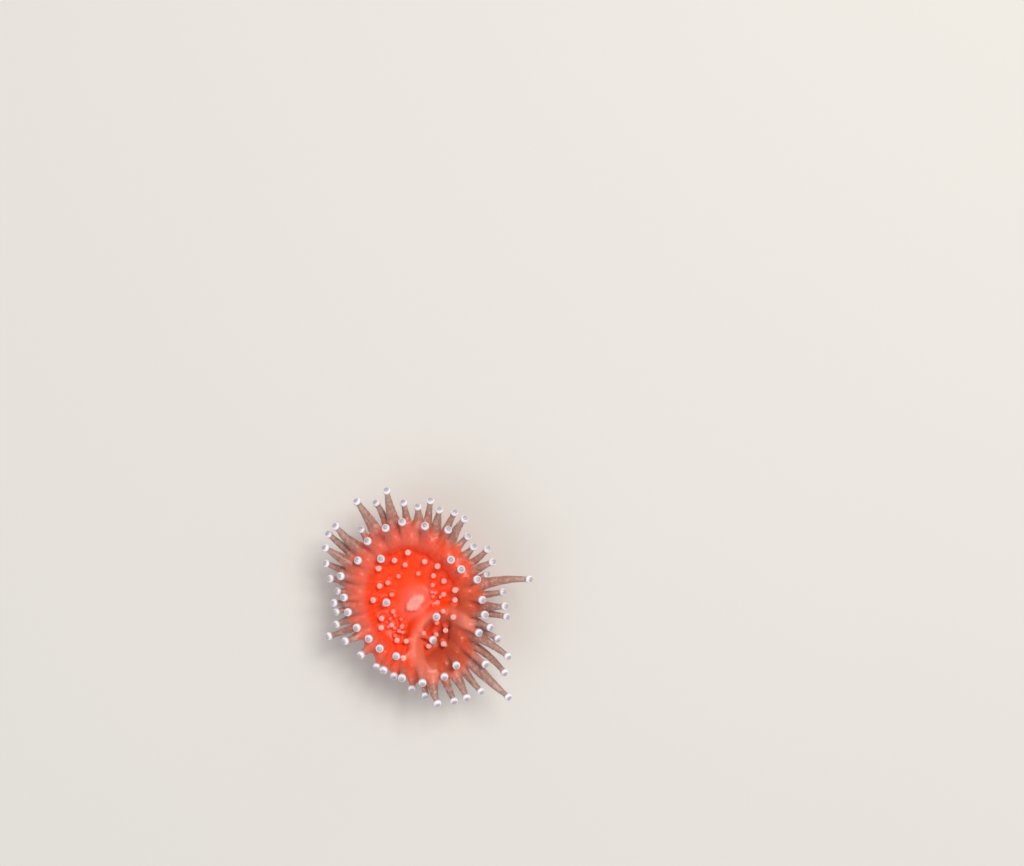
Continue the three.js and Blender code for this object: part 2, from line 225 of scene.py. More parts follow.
def mix(a, b, share):
    """a at share 0, b at share 1, and in a straight line between."""
    return a + (b - a) * share


def scatter(index, step):
    """A number from -1 to 1 that scatters evenly over the whole numbers."""
    turns = index * step
    return 2 * (turns - math.floor(turns)) - 1


def unit(vector):
    return vector / np.linalg.norm(vector)


# ---- The animal before its stance ----


def side_radius(height):
    """The waist, the foot's spread, a bell over the height, and the trumpet's flare, a power of it."""
    foot = (FOOT_RADIUS - WAIST_RADIUS) * bell(height / FOOT_SPREAD)
    flare = (RIM_RADIUS - WAIST_RADIUS) * (height / (RIM_HEIGHT - LIP)) ** FLARE_POWER
    return WAIST_RADIUS + foot + flare


def dish_height(radius):
    """A dish that steepens with the cube of the radius."""
    return RIM_HEIGHT - DISH_DEPTH * (1 - (radius / DISH_RADIUS) ** 3)


# ---- The stance ----


def rim_distance(azimuth):
    """Distance from the mouth's axis to the rim: an oval, less a bell where it is pinched in."""
    turn = azimuth - OVAL_AZIMUTH
    oval = 1 / np.hypot(np.cos(turn) / OVAL_LONG, np.sin(turn) / OVAL_SHORT)
    away = np.arctan2(np.sin(azimuth - PINCH_AZIMUTH), np.cos(azimuth - PINCH_AZIMUTH))
    return oval * (1 - PINCH_DEPTH * bell(away / PINCH_SPREAD))


def fold_parts(x, y):
    """The fold's ridge, a bell across an arc about the second basin, and the basin's own bell."""
    distance = np.hypot(x - BASIN_X, y - BASIN_Y)
    width = np.where(distance > FOLD_RADIUS, FOLD_WIDTH_OUT, FOLD_WIDTH_IN)
    ridge = bell((distance - FOLD_RADIUS) / width)
    fade = 1 - FOLD_FADE * np.minimum(np.hypot(x, y) / RIM_RADIUS, 1) ** 4
    return ridge * fade, bell(distance / BASIN_SPREAD)


def fold_lift(x, y):
    """How far a place on the rim or disc is lifted: by the ridge, less the basin."""
    ridge, basin = fold_parts(x, y)
    return FOLD_RISE * ridge - BASIN_DEPTH * basin


def posed(azimuth, radius, height):
    """A place on the round animal, in the stance: stretched to the oval, then lifted by the fold."""
    oval = ease(height, OVAL_FROM, OVAL_FULL)
    stretch = mix(1, rim_distance(azimuth) / RIM_RADIUS, oval)
    x = radius * np.cos(azimuth) * stretch
    y = radius * np.sin(azimuth) * stretch
    return np.array([x, y, height + ease(height, FOLD_FROM, FOLD_FULL) * fold_lift(x, y)])


NEWTON_STEPS = 6


def unposed(x, y, z):
    """The stance undone: the height by Newton's rule, since only it is hidden in the fold, then the
    oval. Gives x, y and height on the round animal."""
    lift = fold_lift(x, y)
    height = z - ease(z, FOLD_FROM, FOLD_FULL) * lift
    for _ in range(NEWTON_STEPS):
        t = np.clip((height - FOLD_FROM) / (FOLD_FULL - FOLD_FROM), 0, 1)
        slope = 1 + lift * 6 * t * (1 - t) / (FOLD_FULL - FOLD_FROM)
        height = height - (height + t * t * (3 - 2 * t) * lift - z) / slope
    oval = ease(height, OVAL_FROM, OVAL_FULL)
    stretch = mix(1, rim_distance(np.arctan2(y, x)) / RIM_RADIUS, oval)
    return x / stretch, y / stretch, height


# ---- Profiles and their distances ----


class ProfileField:
    """Signed distance to a closed profile of (radius, height) points, and how far along the profile the
    nearest place is, from 0 to 1, both kept on a fine grid and read back between its points."""

    STEP = 0.05

    def __init__(self, profile, reach):
        profile = np.asarray(profile, float)
        low = np.array([0.0, profile[:, 1].min() - reach])
        high = profile.max(axis=0) + reach
        self.low = low
        size = np.ceil((high - low) / self.STEP).astype(int) + 1
        radius = low[0] + self.STEP * np.arange(size[0])[:, None]
        height = low[1] + self.STEP * np.arange(size[1])[None, :]
        start, end = profile[:-1], profile[1:]
        lengths = np.linalg.norm(end - start, axis=1)
        travelled = np.concatenate([[0], np.cumsum(lengths)])
        best = np.full(size, np.inf)
        share = np.zeros(size)
        inside = np.zeros(size, bool)
        for a, b, length, before in zip(start, end, lengths, travelled):
            if length == 0:
                continue
            way = (b - a) / length
            along = np.clip((radius - a[0]) * way[0] + (height - a[1]) * way[1], 0, length)
            distance = np.hypot(radius - a[0] - along * way[0], height - a[1] - along * way[1])
            nearer = distance < best
            best = np.where(nearer, distance, best)
            share = np.where(nearer, before + along, share)
            if a[1] != b[1]:
                crossing = a[0] + (height - a[1]) * (b[0] - a[0]) / (b[1] - a[1])
                inside ^= ((a[1] > height) != (b[1] > height)) & (radius < crossing)
        self.distance = np.where(inside, -best, best).astype(np.float32)
        self.share = (share / travelled[-1]).astype(np.float32)

    def read(self, table, radius, height):
        u = np.clip((radius - self.low[0]) / self.STEP, 0, table.shape[0] - 1.001)
        v = np.clip((height - self.low[1]) / self.STEP, 0, table.shape[1] - 1.001)
        i, j = u.astype(np.int32), v.astype(np.int32)
        u, v = (u - i).astype(np.float32), (v - j).astype(np.float32)
        lower = mix(table[i, j], table[i + 1, j], u)
        upper = mix(table[i, j + 1], table[i + 1, j + 1], u)
        return mix(lower, upper, v)


def body_profile():
    """The outline of foot, side, lip and dish, from the middle of the foot to the middle of the dish.
    The foot reaches below the floor, drawn in a little."""
    height = np.linspace(0, RIM_HEIGHT - LIP, 90)
    angle = np.linspace(0, math.pi / 2, 12)[1:]
    radius = np.linspace(DISH_RADIUS, 0, 90)[1:]
    return np.concatenate([
        [(0, -FOOT_TUCK), (FOOT_RADIUS - FOOT_TUCK / 3, -FOOT_TUCK)],
        np.stack([side_radius(height), height], axis=1),
        np.stack([DISH_RADIUS + LIP * np.cos(angle), RIM_HEIGHT - LIP + LIP * np.sin(angle)], axis=1),
        np.stack([radius, dish_height(radius)], axis=1),
    ])


CORNER_CUTS = 3


def mouth_profile():
    """The outline of the mouth cone with its lips nearly shut, its corners cut off again and again."""
    floor = dish_height(0)
    points = np.array([
        (0, floor - MOUTH_ROOT[1]), (MOUTH_SHORT * MOUTH_ROOT[0], floor - MOUTH_ROOT[1]),
        *((MOUTH_SHORT * share, floor + rise) for share, rise in MOUTH_SIDE),
        (MOUTH_SHORT * LIP_OUTSIDE, floor + MOUTH_RISE - MOUTH_LIP),
        (MOUTH_SHORT * LIP_CREST, floor + MOUTH_RISE + LIP_CREST_RISE),
        (0, floor + MOUTH_RISE),
    ])
    for _ in range(CORNER_CUTS):
        cut = np.stack([mix(points[:-1], points[1:], 0.25), mix(points[:-1], points[1:], 0.75)], axis=1)
        points = np.concatenate([points[:1], cut.reshape(-1, 2), points[-1:]])
    return points


BODY = ProfileField(body_profile(), 6)
MOUTH = ProfileField(mouth_profile(), 3)


def soft_least(a, b, width):
    """The lesser of two distances, rounded off where they are within a width of each other."""
    h = np.clip(0.5 + 0.5 * (b - a) / width, 0, 1)
    return mix(b, a, h) - width * h * (1 - h)


def body_parts(x, y, z):
    """Distances to the body and to the mouth cone, with fine grooves, a cosine of the azimuth, that run
    up the column and in over the disc. Gives both distances, radius, height and profile share."""
    x, y, height = unposed(x, y, z)
    radius = np.hypot(x, y)
    share = BODY.read(BODY.share, radius, height)
    azimuth = np.arctan2(y, x)
    body = BODY.read(BODY.distance, radius, height)
    grooved = ease(share, *GROOVES_BEGIN) * (1 - ease(share, *GROOVES_END))
    body = body + GROOVE_DEPTH * grooved * np.cos(GROOVES * (azimuth - FIRST_AZIMUTH))
    sway = np.sin(3 * azimuth + 1) + 0.6 * np.sin(7 * azimuth)  # whole waves round, so that they close
    wrinkled = ease(height, *WRINKLES_BEGIN) * (1 - ease(height, *WRINKLES_END))
    body = body + WRINKLE_DEPTH * wrinkled * np.sin(FULL_TURN * height / WRINKLE_LENGTH + sway)
    footing = ease(height, *WANDER_BEGINS) * (1 - ease(height, *WANDER_ENDS))
    body = body + FOOT_WANDER * footing * (np.sin(5 * azimuth + 2) + 0.5 * np.sin(11 * azimuth))
    cos, sin = math.cos(MOUTH_AZIMUTH), math.sin(MOUTH_AZIMUTH)
    risen = ease(height, dish_height(0) + 0.2, dish_height(0) + MOUTH_RISE)
    along = (x * cos + y * sin) / mix(MOUTH_LONG / MOUTH_SHORT, MOUTH_TOP_RATIO, risen)
    across = y * cos - x * sin
    around = np.arctan2(across, along)
    crimp = 1 + LIP_CRIMP * np.cos(LIP_FOLDS * around) * risen
    mouth = MOUTH.read(MOUTH.distance, np.hypot(along, across) * crimp, height)
    groove = LIP_GROOVE * risen * bell(across / LIP_GROOVE_WIDTH) * bell(along / LIP_GROOVE_LENGTH)
    mouth = mouth + groove
    return body, mouth, radius, height, share


# ---- Tentacles: a centre line with radii, and a round knob ----


def reach_at(azimuth):
    """Reach past the rim at an azimuth, eased by a cosine between the pairs of REACH."""
    turn = (math.degrees(azimuth) - REACH[0, 0]) % 360
    starts = np.append(REACH[:, 0] - REACH[0, 0], 360)
    values = np.append(REACH[:, 1], REACH[0, 1])
    i = min(int(np.searchsorted(starts, turn, side="right")) - 1, len(REACH) - 1)
    along = (1 - math.cos(math.pi * (turn - starts[i]) / (starts[i + 1] - starts[i]))) / 2
    return mix(values[i], values[i + 1], along)


def feeler(foot, bend, tip, depth, root, neck, knob, kind, number):
    """A tentacle on a bent line of three points. Its radius falls from root to neck with a power of the
    way along, flares into the body, and ripples a little."""
    t = np.linspace(0, 1, PATH_STEPS)[:, None]
    line = (1 - t) ** 2 * foot + 2 * t * (1 - t) * bend + t**2 * tip
    line = np.concatenate([[foot - depth * unit(bend - foot)], line])
    travelled = np.append(0, np.cumsum(np.linalg.norm(np.diff(line, axis=0), axis=1))) - depth
    shaft_end = travelled[-1] - math.sqrt(knob**2 - neck**2)
    along = np.clip(travelled / shaft_end, 0, 1)
    root = root * (1 + FULLNESS if kind < 2 else 1)
    radii = neck + (root - neck) * (1 - along) ** TAPER
    radii = radii * (1 + ROOT_FLARE * np.exp(-np.maximum(travelled, 0) / ROOT_FLARE_LENGTH))
    wave = np.sin(FULL_TURN * (travelled / RIPPLE_LENGTH + GOLDEN * number))
    radii = radii * (1 + RIPPLE * wave * ease(along, *RIPPLE_START))
    reach = radii.max() + BOX_REACH
    return dict(
        line=line, radii=radii, along=along, tip=tip, knob=knob, kind=kind, number=number,
        low=line.min(axis=0) - reach, high=line.max(axis=0) + reach,
    )


def on_lip(azimuth, angle):
    """A place on the lip's round, at an angle up from its outermost line."""
    return posed(azimuth, DISH_RADIUS + LIP * math.cos(angle), RIM_HEIGHT - LIP + LIP * math.sin(angle))


def reaching(row, azimuth, heading, foot, out, lift, kind, number):
    """A tentacle of the rim, from its foot to a knob that lies out and up from there."""
    outward = np.array([math.cos(heading), math.sin(heading), 0])
    sideways = np.array([math.sin(heading), -math.cos(heading), 0])
    up = np.array([0, 0, 1.0])
    bend = foot + row["bend_out"] * out * outward + row["bend_lift"] * lift * up
    bend = bend + BOW * out * scatter(number, COPPER) * sideways
    tip = foot + out * outward + lift * up
    crowding = min(1, rim_distance(azimuth) / RIM_RADIUS) ** CROWDING
    return feeler(foot, bend, tip, ROOT_DEPTH, crowding * row["root"], NECK, KNOB, kind, number)


def rim_feeler(index):
    """A tentacle of the rim, standing low on the lip's outside or high on the dish's edge."""
    row = HIGH if index % 2 else LOW
    azimuth = FIRST_AZIMUTH + index * FULL_TURN / RIM_TENTACLES
    high_foot = posed(azimuth, HIGH_RADIUS, dish_height(HIGH_RADIUS))
    foot = high_foot if index % 2 else on_lip(azimuth, LOW_ANGLE)
    heading = azimuth + math.radians(row["swing"]) * scatter(index, GOLDEN)
    reach = reach_at(heading)
    out = row["out"] + row["share"] * reach + row["out_scatter"] * scatter(index, SILVER)
    lift = row["lift"] + row["rise"] * reach + row["lift_scatter"] * scatter(index, BRONZE)
    return reaching(row, azimuth, heading, foot, out, lift, index % 2, index)


def under_feeler(number, azimuth, out):
    """A tentacle under the low row, on the lip's outside, that reaches straight out."""
    lift = UNDER["lift"] + UNDER["lift_scatter"] * scatter(number, BRONZE)
    foot = on_lip(azimuth, UNDER_ANGLE)
    return reaching(UNDER, azimuth, azimuth, foot, out, lift, 0, RIM_TENTACLES + number)


def disc_feeler(azimuth, radius, length, lean, root, knob, kind, number):
    """A tentacle of the disc, square to the dish but for a lean outwards."""
    foot = posed(azimuth, radius, dish_height(radius))
    ahead = unit(posed(azimuth, radius + STEP_OUT, dish_height(radius + STEP_OUT)) - foot)
    around = unit(posed(azimuth + STEP_ROUND, radius, dish_height(radius)) - foot)
    way = unit(np.cross(ahead, around) + lean * ahead)
    tip = foot + length * way
    neck = min(BUD_NECK, SLIM_NECK * knob)
    return feeler(foot, (foot + tip) / 2, tip, DISC_ROOT_DEPTH, root, neck, knob, kind, number)


def bud(row, ring):
    """A small tentacle of the disc, longer, rounder and more leant the further out its ring is."""
    share = ring / (len(DISC_RINGS) - 1)
    index = row * len(DISC_RINGS) + ring
    return disc_feeler(
        row * FULL_TURN / DISC_ROWS + BUD_SCATTER["turn"] * scatter(index, GOLDEN),
        DISC_RINGS[ring] + BUD_SCATTER["radius"] * scatter(index, SILVER),
        mix(*BUD_LENGTH, share) * (1 + BUD_SCATTER["length"] * scatter(index, BRONZE)),
        mix(*BUD_LEAN, share), BUD_ROOT, mix(*BUD_KNOB, share), 3, index,
    )


def all_feelers():
    """Every tentacle: rim, disc's small and tall, below the rim, and tiny."""
    feelers = [rim_feeler(index) for index in range(RIM_TENTACLES)]
    feelers += [bud(row, ring) for row in range(DISC_ROWS) for ring in ((1, 3) if row % 2 else (0, 2))]
    for number, (azimuth, radius, length, lean) in enumerate(TALL_BUDS):
        spot = (math.radians(azimuth), radius, length, lean, TALL_ROOT, KNOB, 2, number)
        feelers.append(disc_feeler(*spot))
    for number, (azimuth, out) in enumerate(UNDER_TENTACLES):
        feelers.append(under_feeler(number, math.radians(azimuth), out))
    for number, (azimuth, radius) in enumerate(TINY_BUDS):
        length = TINY_LENGTH * (1 + TINY_LENGTH_SCATTER * scatter(number, GOLDEN))
        spot = (math.radians(azimuth), radius, length, TINY_LEAN, TINY_ROOT, TINY_KNOB, 3, number)
        feelers.append(disc_feeler(*spot))
    return feelers


FEELERS = all_feelers()


def shaft_distance(one, x, y, z):
    """Distance to a tentacle's centre line less its radius there, and how far along the nearest place
    is."""
    best = None
    line, radii, along = one["line"], one["radii"], one["along"]
    for a, b, ra, rb, sa, sb in zip(line[:-1], line[1:], radii[:-1], radii[1:], along[:-1], along[1:]):
        way = b - a
        px, py, pz = x - a[0], y - a[1], z - a[2]
        t = np.clip((px * way[0] + py * way[1] + pz * way[2]) / (way @ way), 0, 1)
        square = (px - t * way[0]) ** 2 + (py - t * way[1]) ** 2 + (pz - t * way[2]) ** 2
        distance = np.sqrt(square) - mix(ra, rb, t)
        place = mix(sa, sb, t)
        if best is None:
            best, nearest = distance, place
        else:
            nearer = distance < best
            best = np.where(nearer, distance, best)
            nearest = np.where(nearer, place, nearest)
    return best, nearest


def knob_distance(one, x, y, z):
    """Distance to a tentacle's knob, a ball round its tip."""
    tip = one["tip"]
    return np.sqrt((x - tip[0]) ** 2 + (y - tip[1]) ** 2 + (z - tip[2]) ** 2) - one["knob"]


# ---- The field: all the distances, joined by soft fillets ----

LARGEST_POWER = 60.0
LEAST_SUM = 1e-26


def term(distance, width):
    """A distance as a term to be summed: e to the power of less the distance over the width."""
    return np.exp(np.minimum(-distance / width, LARGEST_POWER))


def ground(x, y, z):
    """The body's distance, its mouth cone's joined on, and the width of the fillets at a place: narrow
    far from the body, wider on the disc and widest at the rim."""
    body, mouth, radius, height, share = body_parts(x, y, z)
    joined = soft_least(body, mouth, MOUTH_BLEND)
    rim = ease(radius, *RIM_BLEND_ZONE)
    near = bell(np.maximum(body, 0) / mix(DISC_BLEND_REACH, RIM_BLEND_REACH, rim))
    width = FREE_BLEND + mix(DISC_BLEND, RIM_BLEND, rim) * near
    return joined, width, body, mouth, radius, height, share


def least(terms, width):
    """A sum of terms as one distance: the least of those summed, rounded off where two are close."""
    return -width * np.log(np.maximum(terms, LEAST_SUM))


def knobbed(shafts, width, knobs):
    """The sums of both kinds of terms as one distance: body and shafts with their wide fillets, then the
    knobs with a narrow one, so that they stay round wherever they are."""
    return least(term(least(shafts, width), KNOB_BLEND) + knobs, KNOB_BLEND)


def grid_field(xs, ys, zs):
    """The field on a whole grid. Each tentacle adds its terms only inside its own box."""
    joined, width = ground(xs[:, None, None], ys[None, :, None], zs[None, None, :])[:2]
    shafts = np.broadcast_to(term(joined, width), (len(xs), len(ys), len(zs))).copy()
    knobs = np.zeros_like(shafts)
    for one in FEELERS:
        ends = zip((xs, ys, zs), one["low"], one["high"])
        spans = [np.searchsorted(axis, (low, high)) for axis, low, high in ends]
        cut = tuple(slice(*span) for span in spans)
        x, y, z = xs[cut[0], None, None], ys[None, cut[1], None], zs[None, None, cut[2]]
        shafts[cut] += term(shaft_distance(one, x, y, z)[0], width[cut])
        knobs[cut] += term(knob_distance(one, x, y, z), KNOB_BLEND)
    return knobbed(shafts, width, knobs)


def neighbourhoods(points):
    """For each tentacle, the numbers of the points in its box."""
    within = (np.all((points > one["low"]) & (points < one["high"]), axis=1) for one in FEELERS)
    return [np.flatnonzero(inside) for inside in within]


def point_sums(points, nearby):
    """The same sums at a list of points, and the width of the fillets there."""
    x, y, z = points.T
    joined, width = ground(x, y, z)[:2]
    shafts = term(joined, width)
    knobs = np.zeros(len(points))
    for one, near in zip(FEELERS, nearby):
        x, y, z = points[near].T
        shafts[near] += term(shaft_distance(one, x, y, z)[0], width[near])
        knobs[near] += term(knob_distance(one, x, y, z), KNOB_BLEND)
    return shafts, width, knobs


def point_field(points, nearby):
    """The same field at a list of points."""
    return knobbed(*point_sums(points, nearby))


def untangled(values):
    """Where a square of four grid points has its two diagonals on opposite sides of 0, two sheets of the
    surface would share an edge, so the outer value there that is nearest 0 is moved inside, until no
    such square is left."""
    while True:
        inside = values < 0
        places = []
        for axis in range(3):
            b, c = np.roll(np.eye(3, dtype=int), -axis, axis=0)[1:]
            corners = np.array([0 * b, b, b + c, c])
            spans = [
                [slice(k, n - 1 + k) if turn else slice(None)
                 for k, n, turn in zip(corner, inside.shape, b + c)]
                for corner in corners
            ]
            first, second, third, fourth = (inside[tuple(span)] for span in spans)
            twisted = np.argwhere((first == third) & (second == fourth) & (first != second))
            four = twisted[:, None, :] + corners
            outer = values[tuple(np.moveaxis(four, -1, 0))]
            outer = np.where(outer < 0, np.inf, outer)
            places.append(four[np.arange(len(four)), outer.argmin(axis=1)])
        worst = tuple(np.unique(np.concatenate(places), axis=0).T)
        if not len(worst[0]):
            return values
        values[worst] = np.minimum(-values[worst], -1e-6)


def surface_net(values, axes):
    """Points and four-sided faces where a grid's values pass through 0: one point in each cell that the
    level crosses, at the mean of the crossings on the cell's edges, and one face for each edge that it
    crosses, joining the four cells round that edge, turned to face the positive side."""
    inside = values < 0
    cells = np.array(values.shape) - 1
    sums = np.zeros((cells.prod(), 3))
    counts = np.zeros(cells.prod())
    rings = []
    for axis in range(3):
        lower = tuple(slice(None, -1) if i == axis else slice(None) for i in range(3))
        upper = tuple(slice(1, None) if i == axis else slice(None) for i in range(3))
        crossed = np.argwhere(inside[lower] != inside[upper])
        first, last = values[tuple(crossed.T)], values[tuple((crossed + np.eye(3, dtype=int)[axis]).T)]
        place = np.stack([axes[i][crossed[:, i]] for i in range(3)], axis=1)
        span = axes[axis][crossed[:, axis] + 1] - axes[axis][crossed[:, axis]]
        place[:, axis] += span * first / (first - last)
        b, c = (axis + 1) % 3, (axis + 2) % 3
        ring = []
        for back_b, back_c in ((1, 1), (0, 1), (0, 0), (1, 0)):
            cell = crossed.copy()
            cell[:, b] -= back_b
            cell[:, c] -= back_c
            number = np.ravel_multi_index(cell.T, cells)
            ring.append(number)
            counts += np.bincount(number, minlength=len(counts))
            for i in range(3):
                sums[:, i] += np.bincount(number, place[:, i], minlength=len(counts))
        ring = np.stack(ring, axis=1)
        turned = first > 0
        ring[turned] = ring[turned, ::-1]
        rings.append(ring)
    used = np.flatnonzero(counts)
    numbers = np.zeros(len(counts), int)
    numbers[used] = np.arange(len(used))
    return sums[used] / counts[used, None], numbers[np.concatenate(rings)]


def gradient(points, values, nearby, step=0.03):
    """The field's gradient, by the difference over a small step along each axis."""
    moved = [point_field(points + step * way, nearby) for way in np.eye(3)]
    return (np.stack(moved, axis=1) - values[:, None]) / step


DRIFT = 0.5  # share of the way to the middle of its neighbours that a point goes
LONGEST_PUSH = 0.1  # towards the level, in one round


def settled(points, faces, rounds=4):
    """The points evened out along the surface, each towards the middle of its neighbours, and brought
    back on to the level 0 along the field's gradient."""
    ends = np.concatenate([faces[:, [0, 1]], faces[:, [1, 2]], faces[:, [2, 3]], faces[:, [3, 0]]])
    count = np.bincount(ends[:, 0], minlength=len(points)) + np.bincount(ends[:, 1], minlength=len(points))
    nearby = neighbourhoods(points)
    for turn in range(rounds):
        normal = gradient(points, point_field(points, nearby), nearby)
        square = np.maximum((normal**2).sum(axis=1, keepdims=True), 1e-3)
        if turn:
            middle = np.stack([
                np.bincount(ends[:, 0], points[ends[:, 1], i], minlength=len(points))
                + np.bincount(ends[:, 1], points[ends[:, 0], i], minlength=len(points))
                for i in range(3)
            ], axis=1) / count[:, None]
            drift = DRIFT * (middle - points)
            drift -= normal * (drift * normal).sum(axis=1, keepdims=True) / square
            points = points + drift
        push = point_field(points, nearby)[:, None] * normal / square
        length = np.linalg.norm(push, axis=1, keepdims=True)
        points = points - push * np.minimum(1, LONGEST_PUSH / np.maximum(length, 1e-9))
    return points


def skin_marks(points):
    """What the materials need to know at each point: how far along the profile it is, how much it
    belongs to a tentacle and how far along that, to a knob, to the disc's small tentacles, to the
    mouth cone and to the fold's parts, and a number for each tentacle. A point is a knob's where, of
    the two sums that the skin joins, the knobs' is the nearer, so that colour and shape end together."""
    x, y, z = points.T
    joined, _, body, mouth, _, height, share = ground(x, y, z)
    ridge, basin = fold_parts(x, y)
    top = ease(height, FOLD_FROM, FOLD_FULL)
    across = np.hypot(x - BASIN_X, y - BASIN_Y) - FOLD_RADIUS
    off_crease = np.abs(x - CREASE_PLACE[0]) + np.abs(y - CREASE_PLACE[1])
    # The crease mark places painted shade in the crease beside the fold.
    crease = bell((across - CREASE_AT) / CREASE_WIDTH) * (1 - ease(off_crease, *CREASE_FADE))
    # The mouth mark paints the cone pale, paler up its height; its top also takes a painted highlight.
    on_mouth = ease(body - mouth, *MOUTH_PALE)
    raised = mix(MOUTH_FOOT, 1, ease(height, *(dish_height(0) + rise for rise in MOUTH_CLIMB)))
    pale_ridge = bell(across / np.where(across < 0, *RIDGE_PALE_WIDTH)) * top * ease(ridge, *RIDGE_EDGE)
    count = len(points)
    # The basin mark places painted shade in the second basin.
    marks = dict(
        climb=share, clear=np.maximum(joined, 0), mouth=on_mouth * raised, crease=crease * top,
        ridge=pale_ridge, basin=basin * top,
        along=np.zeros(count), crown=np.zeros(count), small=np.zeros(count), tint=np.zeros(count),
    )
    nearby = neighbourhoods(points)
    shafts, width, knobs = point_sums(points, nearby)
    marks["knob"] = ease(least(shafts, width) - least(knobs, KNOB_BLEND), 0, KNOB_EDGE)
    best = np.full(count, np.inf)
    upright = np.zeros(count, bool)
    for one, near in zip(FEELERS, nearby):
        shaft, along = shaft_distance(one, *points[near].T)
        nearest = np.minimum(shaft, knob_distance(one, *points[near].T))
        closer = nearest < best[near]
        here = near[closer]
        best[here] = nearest[closer]
        marks["along"][here] = along[closer]
        marks["small"][here] = one["kind"] == 3
        marks["tint"][here] = (one["number"] * GOLDEN + one["kind"] * SILVER) % 1
        upright[here] = one["kind"] in (1, 2)
        # Each knob's crown faces up and out, so that its painted highlight ring and greyer middle face the
        # light from above.
        facing = unit(unit(one["tip"] - one["line"][-2]) + CROWN_UP)
        crown = (points[here] - one["tip"]) @ facing / one["knob"]
        marks["crown"][here] = np.clip(crown / 2 + 0.5, 0, 1)
    marks["feeler"] = ease(joined - best, *FEELER_EDGE)
    beyond = marks["clear"] * np.where(upright, UPRIGHT_SHARE, 1)
    marks["jelly"] = marks["feeler"] * ease(beyond, *JELLY_FADE) * (marks["small"] == 0)
    return marks


def skin_grid():
    """The grid's lines along x, y and z, further apart low down, where nothing fine stands."""
    lows = np.min([one["line"].min(axis=0) for one in FEELERS], axis=0) - KNOB - MARGIN
    highs = np.max([one["line"].max(axis=0) for one in FEELERS], axis=0) + KNOB + MARGIN
    low_z = np.arange(-FOOT_TUCK - MARGIN, COARSE_TOP, COARSE_STEP)
    high_z = np.arange(low_z[-1] + COARSE_STEP, highs[2], GRID_STEP)
    xs, ys = (np.arange(lows[i], highs[i], GRID_STEP) for i in range(2))
    return [axis.astype(np.float32) for axis in (xs, ys, np.concatenate([low_z, high_z]))]


def skin():
    """The skin as one piece, with the marks at its points, and slots for flesh, tentacles and knobs."""
    axes = skin_grid()
    points, faces = surface_net(untangled(grid_field(*axes)), axes)
    points = settled(points, faces)
    points[:, 2] = np.maximum(points[:, 2], 0)
    mesh = bpy.data.meshes.new("anemone_skin")
    mesh.from_pydata(points * MM, [], faces)
    marks = skin_marks(points)
    for name, values in marks.items():
        layer = mesh.attributes.new(name, "FLOAT", "POINT")
        layer.data.foreach_set("value", np.asarray(values, np.float32))
    whole = {name: values[faces].mean(axis=1) for name, values in marks.items()}
    slots = np.zeros(len(faces), np.int32)
    slots[(whole["feeler"] > 0.5) & (whole["small"] < 0.5)] = 1
    slots[(whole["knob"] > 0.5) & (whole["small"] < 0.5)] = 2
    mesh.polygons.foreach_set("material_index", slots)
    mesh.polygons.foreach_set("use_smooth", np.ones(len(faces), bool))
    thing = bpy.data.objects.new("anemone_skin", mesh)
    bpy.context.scene.collection.objects.link(thing)
    print("skin", len(points), "points", 2 * len(faces), "triangles")
    return thing


# ---- Materials ----


def linear(colour):
    """An sRGB hex colour as linear red, green, blue and 1."""
    parts = [int(colour[i:i + 2], 16) / 255 for i in (1, 3, 5)]
    return [p / 12.92 if p <= 0.04045 else ((p + 0.055) / 1.055) ** 2.4 for p in parts] + [1.0]


def add(tree, kind, settings=None, out=None, **inputs):
    """Adds a node with its settings and inputs, each input a value, a hex colour or a socket to link
    from, and gives the output asked for, or else the first that is in use."""
    node = tree.nodes.new(kind)
    for name, value in (settings or {}).items():
        setattr(node, name, value)
    for name, value in inputs.items():
        socket = node.inputs[int(name[1:]) if name[1:].isdigit() else name.replace("_", " ")]
        if isinstance(value, bpy.types.NodeSocket):
            tree.links.new(value, socket)
        else:
            socket.default_value = linear(value) if isinstance(value, str) else value
    if out:
        return node.outputs[out]
    return next((socket for socket in node.outputs if socket.enabled), None)


MATH = "ShaderNodeMath"
RANGE = "ShaderNodeMapRange"
MIX = "ShaderNodeMix"
NOISE = "ShaderNodeTexNoise"
PRODUCT = {"operation": "MULTIPLY"}
PRODUCT_SUM = {"operation": "MULTIPLY_ADD"}
SMOOTH = {"interpolation_type": "SMOOTHSTEP"}
COLOURS = {"data_type": "RGBA"}


def layered(tree, colour, layers):
    """Lays colours over a colour. Each layer is a value, where on it the layer starts and is full, how
    much it covers at most, and its colour."""
    for value, start, full, most, tone in layers:
        share = add(tree, RANGE, SMOOTH, Value=value, From_Min=start, From_Max=full, To_Max=most)
        colour = add(tree, MIX, COLOURS, i0=share, i6=colour, i7=tone)
    return colour


# Patterns in the flesh, as repeats to a metre.
CLOUD_SCALE = 420.0  # blotches about 2.4 mm across
MOTTLE_SCALE = 1500.0  # patches about 0.7 mm across
GRAIN_SCALE = 4200.0  # about 0.24 mm
WART_SCALE = 4600.0  # groups of stinging cells, 0.22 mm apart: coarser than real ones, so that they show
WAVER = 11.0  # how far the fine lines wander with the cloud


